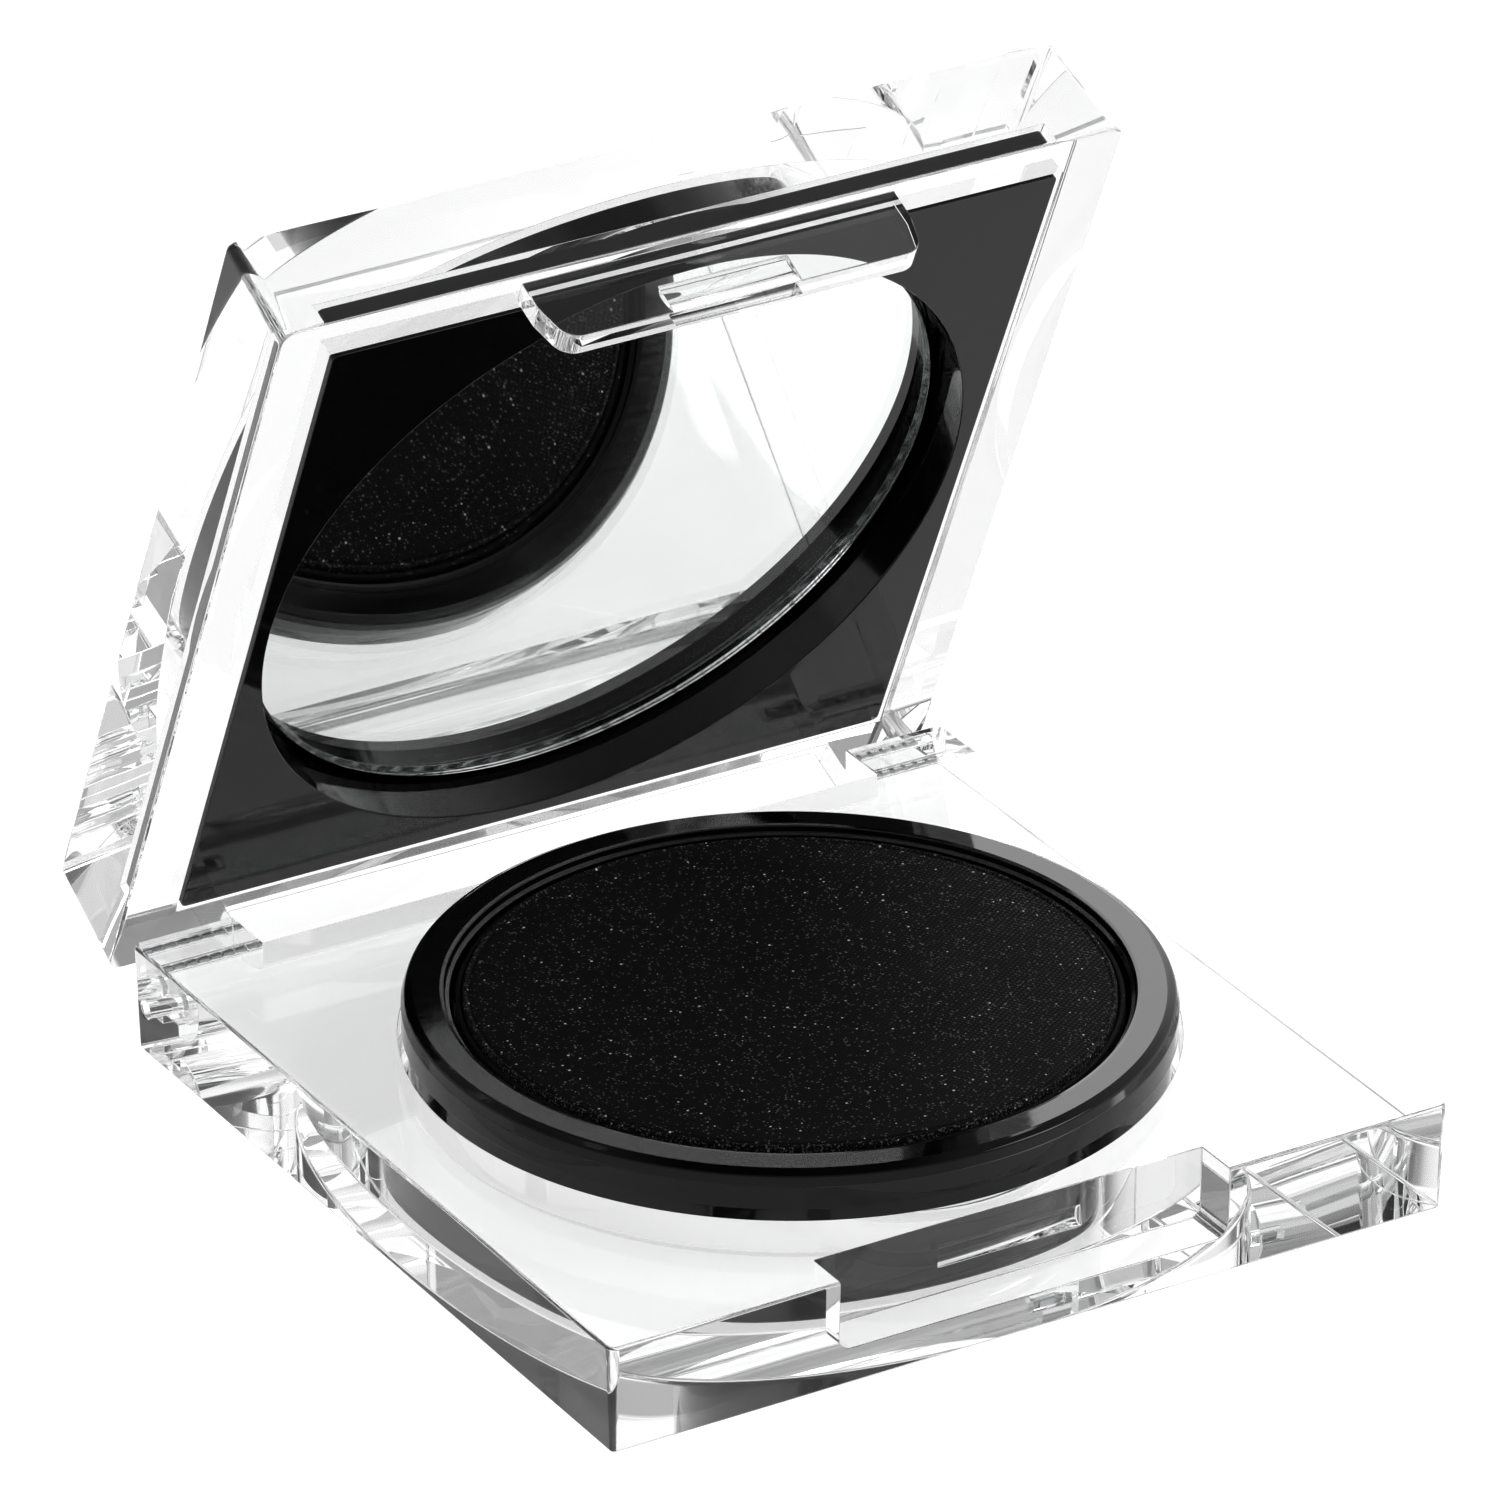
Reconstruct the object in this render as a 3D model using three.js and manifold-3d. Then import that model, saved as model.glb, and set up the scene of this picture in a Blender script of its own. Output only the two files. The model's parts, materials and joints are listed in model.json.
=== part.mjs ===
// A clear square compact with one round pan of pressed eyeshadow, standing open.
// Units are millimetres. +Z is up, +X runs along the hinge, -Y is the front (the latch side).
// The origin is the centre of the base's bottom face.

import * as THREE from "three";
import { mergeVertices } from "three/addons/utils/BufferGeometryUtils.js";
import Module from "manifold-3d";

const wasm = await Module();
wasm.setup();

// ---- driving dimensions -------------------------------------------------------------------

const SIDE = 54.4; // width and depth at the parting plane
const BASE_H = 6.7; // base thickness
const LID_T = 7.7; // lid thickness
const PART_GAP = 0.3; // gap between base and lid when closed
const DRAFT_BASE = 0.25; // how far the base's bottom is inset on each side
const DRAFT_LID = 0.5; // how far the lid's outer face is inset on each side
const EDGE = 0.2; // chamfer on the moulded edges
const CORNER_R = 0.6; // radius of the upright corners
const OPEN_DEG = 66; // how far the lid stands open

const HINGE_Y = 25.8; // hinge axis
const HINGE_Z = 3.0;
const EAR_X = 20.6; // inner face of each hinge ear
const TROUGH_R = 2.3; // round trough in the base that the knuckle turns in
const KNUCKLE_R = 2.1;
const KNUCKLE_GAP = 0.3; // side clearance between knuckle and ear
const LIP_Z = 1.4; // lip behind the trough: the knuckle's flat stops on it when fully open
const LIP_GAP = 0.25;

const PIN_R = 0.5;
const PIN_BORE_R = 0.58;
const PIN_SINK = 1.0; // the pin's outer end lies this far inside the base's side
const PIN_REACH = 1.7; // how far the pin goes into the knuckle
const PIN_BARBS = 6;
const BARB_PITCH = 0.8;
const BARB_DEPTH = 0.12;

const CUP_Y = -0.8; // common centre of well, pan and mirror
const WELL_R = 22.2;
const WELL_FLOOR = 1.4;
const TAPE_T = 0.2;
const TRAY_TAPE_R = 20;
const PAN_TAPE_R = 17;
const REST_GAP = 0.1; // gap left between glued faces

const TRAY_R = 22.0; // greatest radius of the tray's rim
const TRAY_NECK_R = 21.6;
const TRAY_TOP = 9.5;
const RIM_BOTTOM = 7.0; // where the rim starts to stand out from the neck
const RIM_SIDE = [7.25, 8.4]; // the rim's upright side
const RIM_SHOULDER = [[0.12, 0.65], [0.45, 0.25]]; // [in from the side, down from the top]
const LIP_DROP = 0.15; // bevel at the top of the bore
const TRAY_LIP_R = 19.6; // inner edge of the rim's top
const TRAY_BORE_R = 19.25;
const TRAY_FLOOR_T = 3.0; // thick, to stiffen the tray and give it weight
const PAN_R = 18.95;
const PAN_WALL = 0.35;
const PAN_CORNER = 0.4; // bevel round the pan's bottom
const PAN_TOP = 9.0;
const POWDER_R = 18.5;
const POWDER_TOP = 9.35;
const POWDER_BEVEL = [0.2, 0.15]; // [in, down] at the cake's top edge

const FRAME_HALF = 23.4; // half the black plate's side
const FRAME_T = 2.4;
const FRAME_CORNER = 0.4;
const FRAME_CLEAR = 0.25; // gap between plate and pocket
const CUP_R = 22.45;
const CUP_WALL = 0.65;
const MIRROR_R = 22.1;
const MIRROR_DEPTH = 2.7; // from the plate's face to the mirror's face
const MIRROR_T = 0.9;
const MIRROR_TAPE_R = 20.5;
const FRAME_TAPE_R = 21;

const TONGUE_HALF = 12.0;
const TONGUE_TIP_HALF = 11.4;
const TONGUE_Y = [-26.5, -25.0];
const TONGUE_TIP_Z = 2.5;
const TONGUE_TIP_R = 1.3;
const BEAD_HALF = 4.1;
const BEAD_TOP = 5.1; // the snap bead's catching side
const BEAD_PEAK = [0.5, 4.6]; // [out from the tongue, z] where the bead stands out most
const BEAD_FOOT = 3.0; // where the bead's long lead-in starts, near the tongue's tip
const NOTCH_HALF = 12.6;
const NOTCH_BACK_Y = -24.3;
const NOTCH_FLOOR_Z = 2.3;
const NOTCH_CORNER_R = 0.8;
const CATCH_Z = 4.6;
const CATCH_HALF = 4.6;
const CATCH_R = 0.75;
const CATCH_DEPTH = 0.45;

const EAR_RELIEF = 0.35; // depth, at the back, of the wedge over each ear
const BORE_RUN_OUT = 0.4; // how much deeper than the pin its bore goes
const TOOL_REACH = 1; // how far a cutting shape runs past the face that it cuts

const HALF = SIDE / 2;
const LID_BOTTOM = BASE_H + PART_GAP;
const LID_TOP = LID_BOTTOM + LID_T;
const WALL_SEGMENTS = 72; // sides of the large circles
const PIN_SEGMENTS = 16;

// ---- booleans -----------------------------------------------------------------------------

function toSolid(geometry) {
  const bare = geometry.clone();
  bare.deleteAttribute("normal");
  bare.deleteAttribute("uv");
  const merged = mergeVertices(bare, 1e-4);
  return new wasm.Manifold(
    new wasm.Mesh({
      numProp: 3,
      vertProperties: new Float32Array(merged.attributes.position.array),
      triVerts: new Uint32Array(merged.index.array),
    }),
  );
}

function toGeometry(solid) {
  const mesh = solid.getMesh();
  const geometry = new THREE.BufferGeometry();
  geometry.setAttribute("position", new THREE.BufferAttribute(mesh.vertProperties, 3));
  geometry.setIndex(new THREE.BufferAttribute(mesh.triVerts, 1));
  return geometry;
}

function cut(geometry, ...tools) {
  const start = toSolid(geometry);
  return toGeometry(tools.reduce((solid, tool) => solid.subtract(toSolid(tool)), start));
}

function join(geometry, ...others) {
  const start = toSolid(geometry);
  return toGeometry(others.reduce((solid, other) => solid.add(toSolid(other)), start));
}

// ---- shape helpers ------------------------------------------------------------------------

function box(x0, x1, y0, y1, z0, z1) {
  const made = new THREE.BoxGeometry(x1 - x0, y1 - y0, z1 - z0);
  return made.translate((x0 + x1) / 2, (y0 + y1) / 2, (z0 + z1) / 2);
}

// A solid of revolution about the vertical line through (0, CUP_Y). Profile points are [radius, z],
// from the axis at the bottom, round the outside, to the axis at the top.
function turned(profile, segments = WALL_SEGMENTS) {
  const points = profile.map(([r, z]) => new THREE.Vector2(r, z));
  const made = new THREE.LatheGeometry(points, segments);
  return made.rotateX(Math.PI / 2).translate(0, CUP_Y, 0);
}

function disc(radius, z0, z1) {
  return turned([[0, z0], [radius, z0], [radius, z1], [0, z1]]);
}

// A solid whose outline lies in the YZ plane, run along X from x0 to x1.
function alongX(shape, x0, x1, curveSegments = 16) {
  const options = { depth: x1 - x0, bevelEnabled: false, curveSegments };
  const made = new THREE.ExtrudeGeometry(shape, options);
  // the extrusion's x, y, z become the part's y, z, x
  const turn = new THREE.Matrix4().set(0, 0, 1, x0, 1, 0, 0, 0, 0, 1, 0, 0, 0, 0, 0, 1);
  return made.applyMatrix4(turn);
}

// A solid whose outline lies in the XZ plane, run along Y from y0 to y1.
function alongY(shape, y0, y1, curveSegments = 8) {
  const options = { depth: y1 - y0, bevelEnabled: false, curveSegments };
  const made = new THREE.ExtrudeGeometry(shape, options);
  // the extrusion's x, y, -z become the part's x, z, y
  const turn = new THREE.Matrix4().set(1, 0, 0, 0, 0, 0, -1, y1, 0, 1, 0, 0, 0, 0, 0, 1);
  return made.applyMatrix4(turn);
}

// One level of a slab: a square with rounded corners, counter-clockwise seen from above.
function squareLoop(half, corner, z, centreY) {
  const steps = 6;
  const loop = [];
  for (let quarter = 0; quarter < 4; quarter++) {
    const toCorner = Math.PI / 4 + (quarter * Math.PI) / 2;
    const cx = Math.sign(Math.cos(toCorner)) * (half - corner);
    const cy = Math.sign(Math.sin(toCorner)) * (half - corner);
    for (let i = 0; i <= steps; i++) {
      const a = (quarter * Math.PI) / 2 + (i / steps) * (Math.PI / 2);
      loop.push([cx + corner * Math.cos(a), centreY + cy + corner * Math.sin(a), z]);
    }
  }
  return loop;
}

// A slab through square levels { z, half }, listed from the bottom up.
function slab(levels, corner, centreY = 0) {
  const loops = levels.map(({ z, half }) => squareLoop(half, corner, z, centreY));
  const count = loops[0].length;
  const positions = loops.flat(2);
  const index = [];
  for (let level = 0; level + 1 < loops.length; level++) {
    for (let i = 0; i < count; i++) {
      const a = level * count + i;
      const b = level * count + ((i + 1) % count);
      index.push(a, b, b + count, a, b + count, a + count);
    }
  }
  const top = (loops.length - 1) * count;
  for (let i = 1; i + 1 < count; i++) {
    index.push(0, i + 1, i);
    index.push(top, top + i, top + i + 1);
  }
  const made = new THREE.BufferGeometry();
  made.setAttribute("position", new THREE.Float32BufferAttribute(positions, 3));
  made.setIndex(index);
  return made;
}

// ---- base ---------------------------------------------------------------------------------

// The hinge slot's outline: an upright front wall, the round trough, then the lip at the back.
function troughShape() {
  const shape = new THREE.Shape();
  const top = BASE_H + TOOL_REACH;
  const back = HALF + TOOL_REACH;
  shape.moveTo(HINGE_Y - TROUGH_R, top);
  shape.lineTo(HINGE_Y - TROUGH_R, HINGE_Z);
  shape.absarc(HINGE_Y, HINGE_Z, TROUGH_R, Math.PI, 1.5 * Math.PI, false);
  shape.lineTo(HINGE_Y + LIP_GAP, HINGE_Z - TROUGH_R);
  shape.lineTo(HINGE_Y + LIP_GAP, LIP_Z);
  shape.lineTo(back, LIP_Z);
  shape.lineTo(back, top);
  shape.closePath();
  return shape;
}

function pinBore(x0, x1) {
  const made = new THREE.CylinderGeometry(PIN_BORE_R, PIN_BORE_R, x1 - x0, PIN_SEGMENTS);
  return made.rotateZ(Math.PI / 2).translate((x0 + x1) / 2, HINGE_Y, HINGE_Z);
}

// The groove in the notch's back wall that the tongue's bead drops into.
function catchGroove() {
  const shape = new THREE.Shape();
  const centre = NOTCH_BACK_Y - (CATCH_R - CATCH_DEPTH);
  shape.absarc(centre, CATCH_Z, CATCH_R, 0, 2 * Math.PI, false);
  return alongX(shape, -CATCH_HALF, CATCH_HALF, 12);
}

// The open-topped notch in the base's front, its bottom corners round.
function notch() {
  const shape = new THREE.Shape();
  const top = BASE_H + TOOL_REACH;
  const r = NOTCH_CORNER_R;
  shape.moveTo(-NOTCH_HALF, top);
  shape.lineTo(-NOTCH_HALF, NOTCH_FLOOR_Z + r);
  shape.absarc(-NOTCH_HALF + r, NOTCH_FLOOR_Z + r, r, Math.PI, 1.5 * Math.PI, false);
  shape.absarc(NOTCH_HALF - r, NOTCH_FLOOR_Z + r, r, 1.5 * Math.PI, 2 * Math.PI, false);
  shape.lineTo(NOTCH_HALF, top);
  shape.closePath();
  return alongY(shape, -HALF - TOOL_REACH, NOTCH_BACK_Y);
}

function baseShell() {
  const block = slab(
    [
      { z: 0, half: HALF - DRAFT_BASE - EDGE },
      { z: EDGE, half: HALF - DRAFT_BASE },
      { z: BASE_H - EDGE, half: HALF },
      { z: BASE_H, half: HALF - EDGE },
    ],
    CORNER_R,
  );
  const well = disc(WELL_R, WELL_FLOOR, BASE_H + TOOL_REACH);
  const slot = alongX(troughShape(), -EAR_X, EAR_X);
  const bores = pinBore(-HALF - TOOL_REACH, HALF + TOOL_REACH);
  return cut(block, well, slot, notch(), catchGroove(), bores);
}

// A barbed hinge pin, outer end at x = 0, pointing along +X.
function hingePin() {
  const smoothHead = HALF - PIN_SINK - EAR_X - PIN_BARBS * BARB_PITCH;
  const length = HALF - PIN_SINK - EAR_X + KNUCKLE_GAP + PIN_REACH;
  const bevel = 0.15;
  const crest = 0.02; // the flat left on each barb
  const points = [[0, 0], [PIN_R - bevel, 0], [PIN_R, bevel], [PIN_R, smoothHead]];
  for (let i = 0; i < PIN_BARBS; i++) {
    const x = smoothHead + i * BARB_PITCH;
    points.push([PIN_R - BARB_DEPTH, x + BARB_PITCH / 4]);
    points.push([PIN_R, x + BARB_PITCH - crest]);
  }
  points.push([PIN_R, length - bevel], [PIN_R - bevel, length], [0, length]);
  const profile = points.map(([r, x]) => new THREE.Vector2(r, x));
  return new THREE.LatheGeometry(profile, PIN_SEGMENTS).rotateZ(-Math.PI / 2);
}

// ---- pan stack ----------------------------------------------------------------------------

const TRAY_BOTTOM = WELL_FLOOR + TAPE_T + 1.5 * REST_GAP;
const TRAY_FLOOR = TRAY_BOTTOM + TRAY_FLOOR_T;
const PAN_BOTTOM = TRAY_FLOOR + TAPE_T + 2 * REST_GAP;

function panTray() {
  return turned([
    [0, TRAY_BOTTOM],
    [TRAY_NECK_R, TRAY_BOTTOM],
    [TRAY_NECK_R, RIM_BOTTOM],
    ...RIM_SIDE.map((z) => [TRAY_R, z]),
    ...RIM_SHOULDER.map(([inset, drop]) => [TRAY_R - inset, TRAY_TOP - drop]),
    [TRAY_LIP_R, TRAY_TOP],
    [TRAY_BORE_R, TRAY_TOP - LIP_DROP],
    [TRAY_BORE_R, TRAY_FLOOR],
    [0, TRAY_FLOOR],
  ]);
}

function panGodet() {
  const floor = PAN_BOTTOM + PAN_WALL;
  return turned([
    [0, PAN_BOTTOM],
    [PAN_R - PAN_CORNER, PAN_BOTTOM],
    [PAN_R, PAN_BOTTOM + PAN_CORNER],
    [PAN_R, PAN_TOP],
    [PAN_R - PAN_WALL, PAN_TOP],
    [PAN_R - PAN_WALL, floor],
    [0, floor],
  ]);
}

function powderCake() {
  const bottom = PAN_BOTTOM + PAN_WALL + REST_GAP;
  const [inset, drop] = POWDER_BEVEL;
  return turned([
    [0, bottom],
    [POWDER_R, bottom],
    [POWDER_R, POWDER_TOP - drop],
    [POWDER_R - inset, POWDER_TOP],
    [0, POWDER_TOP],
  ]);
}

// ---- lid, drawn closed --------------------------------------------------------------------

const FRAME_BACK = LID_BOTTOM + MIRROR_DEPTH + MIRROR_T + TAPE_T + 2 * REST_GAP + CUP_WALL;
const POCKET_R = CUP_R + CUP_WALL + FRAME_CLEAR;
const POCKET_TOP = FRAME_BACK + TAPE_T + 2 * REST_GAP;

// The knuckle's outline: round in front and below, flat behind, merging into the lid above.
function knuckleShape() {
  const shape = new THREE.Shape();
  const flat = HALF - HINGE_Y;
  const root = LID_BOTTOM + TOOL_REACH;
  shape.moveTo(HINGE_Y - KNUCKLE_R, root);
  shape.lineTo(HINGE_Y - KNUCKLE_R, HINGE_Z);
  shape.absarc(HINGE_Y, HINGE_Z, KNUCKLE_R, Math.PI, 1.5 * Math.PI, false);
  shape.lineTo(HINGE_Y, HINGE_Z - flat);
  shape.absarc(HINGE_Y, HINGE_Z, flat, 1.5 * Math.PI, 2 * Math.PI, false);
  shape.lineTo(HALF, root);
  shape.closePath();
  return shape;
}

function tongueShape() {
  const shape = new THREE.Shape();
  const root = LID_BOTTOM + TOOL_REACH;
  const r = TONGUE_TIP_R;
  shape.moveTo(-TONGUE_HALF, root);
  shape.lineTo(-TONGUE_HALF, TONGUE_TIP_Z + 2 * r);
  shape.quadraticCurveTo(-TONGUE_TIP_HALF, TONGUE_TIP_Z, -TONGUE_TIP_HALF + r, TONGUE_TIP_Z);
  shape.lineTo(TONGUE_TIP_HALF - r, TONGUE_TIP_Z);
  shape.quadraticCurveTo(TONGUE_TIP_HALF, TONGUE_TIP_Z, TONGUE_HALF, TONGUE_TIP_Z + 2 * r);
  shape.lineTo(TONGUE_HALF, root);
  shape.closePath();
  return shape;
}

// The snap bead on the tongue's inner side: a short catching side above, a long lead-in below.
function bead() {
  const shape = new THREE.Shape();
  const [out, peakZ] = BEAD_PEAK;
  const face = TONGUE_Y[1];
  const peak = face + out;
  shape.moveTo(TONGUE_Y[0] + out, BEAD_FOOT);
  shape.lineTo(face, BEAD_FOOT);
  shape.quadraticCurveTo(peak, (BEAD_FOOT + peakZ) / 2, peak, peakZ);
  shape.quadraticCurveTo(peak, BEAD_TOP, face, BEAD_TOP);
  shape.lineTo(TONGUE_Y[0] + out, BEAD_TOP);
  shape.closePath();
  return alongX(shape, -BEAD_HALF, BEAD_HALF, 8);
}

// A shallow wedge taken off the lid's inner face over each ear, so that it clears as it turns.
function earRelief(side) {
  const shape = new THREE.Shape();
  const front = 2 * (HINGE_Y - TROUGH_R) - (HINGE_Y - KNUCKLE_R);
  const outer = HALF + TOOL_REACH;
  const below = LID_BOTTOM - TOOL_REACH;
  shape.moveTo(front, LID_BOTTOM);
  shape.lineTo(front, below);
  shape.lineTo(outer, below);
  shape.lineTo(outer, LID_BOTTOM + EAR_RELIEF);
  shape.closePath();
  const inner = EAR_X - KNUCKLE_GAP;
  return side < 0 ? alongX(shape, -outer, -inner) : alongX(shape, inner, outer);
}

function lidShell() {
  const block = slab(
    [
      { z: LID_BOTTOM, half: HALF - EDGE },
      { z: LID_BOTTOM + EDGE, half: HALF },
      { z: LID_TOP - 2 * EDGE, half: HALF - DRAFT_LID },
      { z: LID_TOP, half: HALF - DRAFT_LID - 2 * EDGE },
    ],
    CORNER_R + DRAFT_LID,
  );
  const reach = EAR_X - KNUCKLE_GAP;
  const knuckle = alongX(knuckleShape(), -reach, reach);
  const tongue = alongY(tongueShape(), ...TONGUE_Y);
  const half = FRAME_HALF + FRAME_CLEAR;
  const pocketFloor = LID_BOTTOM + FRAME_T + FRAME_CLEAR;
  const below = LID_BOTTOM - TOOL_REACH;
  const pocket = box(-half, half, CUP_Y - half, CUP_Y + half, below, pocketFloor);
  const bore = disc(POCKET_R, below, POCKET_TOP);
  const boreReach = EAR_X + TOOL_REACH;
  const boreEnd = reach - PIN_REACH - BORE_RUN_OUT;
  return cut(
    join(block, knuckle, tongue, bead()),
    pocket,
    bore,
    earRelief(-1),
    earRelief(1),
    pinBore(-boreReach, -boreEnd),
    pinBore(boreEnd, boreReach),
  );
}

function mirrorFrame() {
  const plate = slab(
    [
      { z: LID_BOTTOM, half: FRAME_HALF },
      { z: LID_BOTTOM + FRAME_T, half: FRAME_HALF },
    ],
    FRAME_CORNER,
    CUP_Y,
  );
  const cup = disc(CUP_R + CUP_WALL, LID_BOTTOM, FRAME_BACK);
  const hollow = disc(CUP_R, LID_BOTTOM - TOOL_REACH, FRAME_BACK - CUP_WALL);
  return cut(join(plate, cup), hollow);
}

// ---- assembly -----------------------------------------------------------------------------

const CLEAR = { color: 0xf4f6f7, roughness: 0.05, metalness: 0, transparent: true, opacity: 0.3 };
const BLACK_GLOSS = { color: 0x050505, roughness: 0.12, metalness: 0 };
const POWDER = { color: 0x0b0b0c, roughness: 0.9, metalness: 0 };
const STEEL = { color: 0xa8abae, roughness: 0.35, metalness: 1 };
const MIRROR = { color: 0xf2f4f5, roughness: 0.02, metalness: 1 };
const TAPE = { color: 0x1c1c1d, roughness: 0.85, metalness: 0 };

function piece(name, geometry, finish) {
  const made = new THREE.Mesh(geometry, new THREE.MeshStandardMaterial(finish));
  made.name = name;
  return made;
}

function baseGroup() {
  const group = new THREE.Group();
  group.add(piece("base_shell", baseShell(), CLEAR));
  const tapeFloor = WELL_FLOOR + REST_GAP / 2;
  group.add(piece("tray_tape", disc(TRAY_TAPE_R, tapeFloor, tapeFloor + TAPE_T), TAPE));
  group.add(piece("pan_tray", panTray(), BLACK_GLOSS));
  const panTape = TRAY_FLOOR + REST_GAP;
  group.add(piece("pan_tape", disc(PAN_TAPE_R, panTape, panTape + TAPE_T), TAPE));
  group.add(piece("pan", panGodet(), STEEL));
  group.add(piece("powder", powderCake(), POWDER));
  const left = piece("hinge_pin_left", hingePin(), STEEL);
  left.position.set(-HALF + PIN_SINK, HINGE_Y, HINGE_Z);
  const right = piece("hinge_pin_right", hingePin(), STEEL);
  right.position.set(HALF - PIN_SINK, HINGE_Y, HINGE_Z);
  right.rotation.z = Math.PI;
  group.add(left, right);
  return group;
}

function lidGroup() {
  const closed = new THREE.Group();
  const mirrorFace = LID_BOTTOM + MIRROR_DEPTH;
  const mirrorBack = mirrorFace + MIRROR_T;
  closed.add(piece("lid_shell", lidShell(), CLEAR));
  closed.add(piece("mirror_frame", mirrorFrame(), BLACK_GLOSS));
  closed.add(piece("mirror", disc(MIRROR_R, mirrorFace, mirrorBack), MIRROR));
  const mirrorTape = mirrorBack + REST_GAP;
  closed.add(piece("mirror_tape", disc(MIRROR_TAPE_R, mirrorTape, mirrorTape + TAPE_T), TAPE));
  const frameTape = FRAME_BACK + REST_GAP;
  closed.add(piece("frame_tape", disc(FRAME_TAPE_R, frameTape, frameTape + TAPE_T), TAPE));
  closed.position.set(0, -HINGE_Y, -HINGE_Z);
  const turning = new THREE.Group();
  turning.add(closed);
  turning.position.set(0, HINGE_Y, HINGE_Z);
  turning.rotation.x = THREE.MathUtils.degToRad(-OPEN_DEG);
  return turning;
}

const compact = new THREE.Group();
compact.add(baseGroup(), lidGroup());

export default compact;
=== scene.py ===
"""Looks for a clear square compact with one round pan of pressed eyeshadow, standing open.

Shapes are worked out in millimetres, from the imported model's own boxes and the sizes named below,
and a finished mesh is scaled to metres. Pieces of the lid are drawn with the lid shut and then
turned to where it stands.
"""

import json
import math

import bmesh
import bpy
import numpy as np
from mathutils import Matrix, Vector, noise

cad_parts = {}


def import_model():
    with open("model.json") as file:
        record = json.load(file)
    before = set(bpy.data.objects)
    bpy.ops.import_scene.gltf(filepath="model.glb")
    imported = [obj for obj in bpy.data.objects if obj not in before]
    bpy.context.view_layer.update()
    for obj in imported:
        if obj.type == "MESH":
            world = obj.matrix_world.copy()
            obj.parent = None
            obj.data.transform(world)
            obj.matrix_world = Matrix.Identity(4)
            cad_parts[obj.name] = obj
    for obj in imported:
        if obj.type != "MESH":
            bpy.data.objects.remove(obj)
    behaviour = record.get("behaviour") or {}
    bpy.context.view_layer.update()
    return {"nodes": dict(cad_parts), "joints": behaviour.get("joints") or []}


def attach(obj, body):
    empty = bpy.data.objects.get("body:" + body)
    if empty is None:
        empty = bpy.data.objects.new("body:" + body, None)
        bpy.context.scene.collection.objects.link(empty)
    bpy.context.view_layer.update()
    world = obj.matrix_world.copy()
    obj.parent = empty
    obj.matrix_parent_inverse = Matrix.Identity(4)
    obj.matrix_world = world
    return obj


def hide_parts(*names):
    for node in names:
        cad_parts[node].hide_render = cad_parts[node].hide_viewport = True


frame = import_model()

MM = 0.001
HINGE = frame["joints"][0]
HINGE_AT = Vector(HINGE["pos_m"]) / MM
SHUT = Matrix.Rotation(math.radians(HINGE["range_deg"][0]), 4, Vector(HINGE["axis"]))
OPEN_LID = Matrix.Translation(HINGE_AT) @ SHUT.inverted() @ Matrix.Translation(-HINGE_AT)
CLOSE_LID = OPEN_LID.inverted()


def node_box(node, turn=None):
    """Lowest and highest corner of a CAD node in millimetres, turned first if asked."""
    points = [v.co / MM for v in frame["nodes"][node].data.vertices]
    if turn:
        points = [turn @ p for p in points]
    points = np.array(points)
    return Vector(points.min(0)), Vector(points.max(0))


# ---- sizes, in millimetres ------------------------------------------------------------------

BASE_HI = node_box("base_shell")[1]
TRAY_LO, TRAY_HI = node_box("pan_tray")
PAN_LO, PAN_HI = node_box("pan")
POWDER_LO, POWDER_HI = node_box("powder")
LID_HI = node_box("lid_shell", CLOSE_LID)[1]
PLATE_LO, PLATE_HI = node_box("mirror_frame", CLOSE_LID)
MIRROR_LO, MIRROR_HI = node_box("mirror", CLOSE_LID)

HALF = BASE_HI.x
BASE_TOP = BASE_HI.z
LID_FACE = PLATE_LO.z  # the lid's inner face
LID_TOP = LID_HI.z
CUP_Y = (TRAY_LO.y + TRAY_HI.y) / 2  # the well, tray, pan, cup and mirror share this centre
HINGE_Y = HINGE_AT.y
HINGE_Z = HINGE_AT.z

EDGE_R = 0.2  # the blocks' long edges
CORNER_R = 0.6  # the blocks' upright corners
CUT_EDGE = 0.07  # rounding of the edges that the cuts leave
BASE_DRAFT = 0.25  # the base's bottom is inset this far on each side
LID_DRAFT = 0.5  # and the lid's outer face this far
OVERCUT = 1.0  # a cutter runs this far past the face that it opens

EAR_X = 20.6  # inner face of each hinge ear
TROUGH_R = 2.3  # the round trough that the knuckle turns in
KNUCKLE_R = 2.1
KNUCKLE_GAP = 0.3  # between the knuckle's end and the ear
LIP_Z = 1.4  # the lip behind the trough
LIP_GAP = 0.25
PIN_BORE_R = 0.58
PIN_REACH = 1.7  # how far a pin goes into the knuckle
PIN_END_GAP = 0.4  # the knuckle's bore runs this far past the pin's end

WELL_R = 22.2
WELL_FLOOR = 1.4
WELL_FILLET = 0.35
NOTCH_HALF = 12.6
NOTCH_BACK_Y = -24.3
NOTCH_FLOOR_Z = 2.3
NOTCH_CORNER_R = 0.8
CATCH_Z = 4.6  # the groove in the notch's back, for the bead
CATCH_HALF = 4.6
CATCH_R = 0.75
CATCH_DEPTH = 0.45
BEAD_HALF = 4.1
BEAD_OUT = 0.5
BEAD_PEAK_Z = 4.6
BEAD_TOP = 5.1
BEAD_FOOT = 3.0
TONGUE_HALF = 12.0
TONGUE_TIP_HALF = 11.4
TONGUE_Y = (-26.5, -25.0)  # its outer and inner face
TONGUE_TIP_Z = 2.5
TONGUE_TIP_R = 1.3

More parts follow.
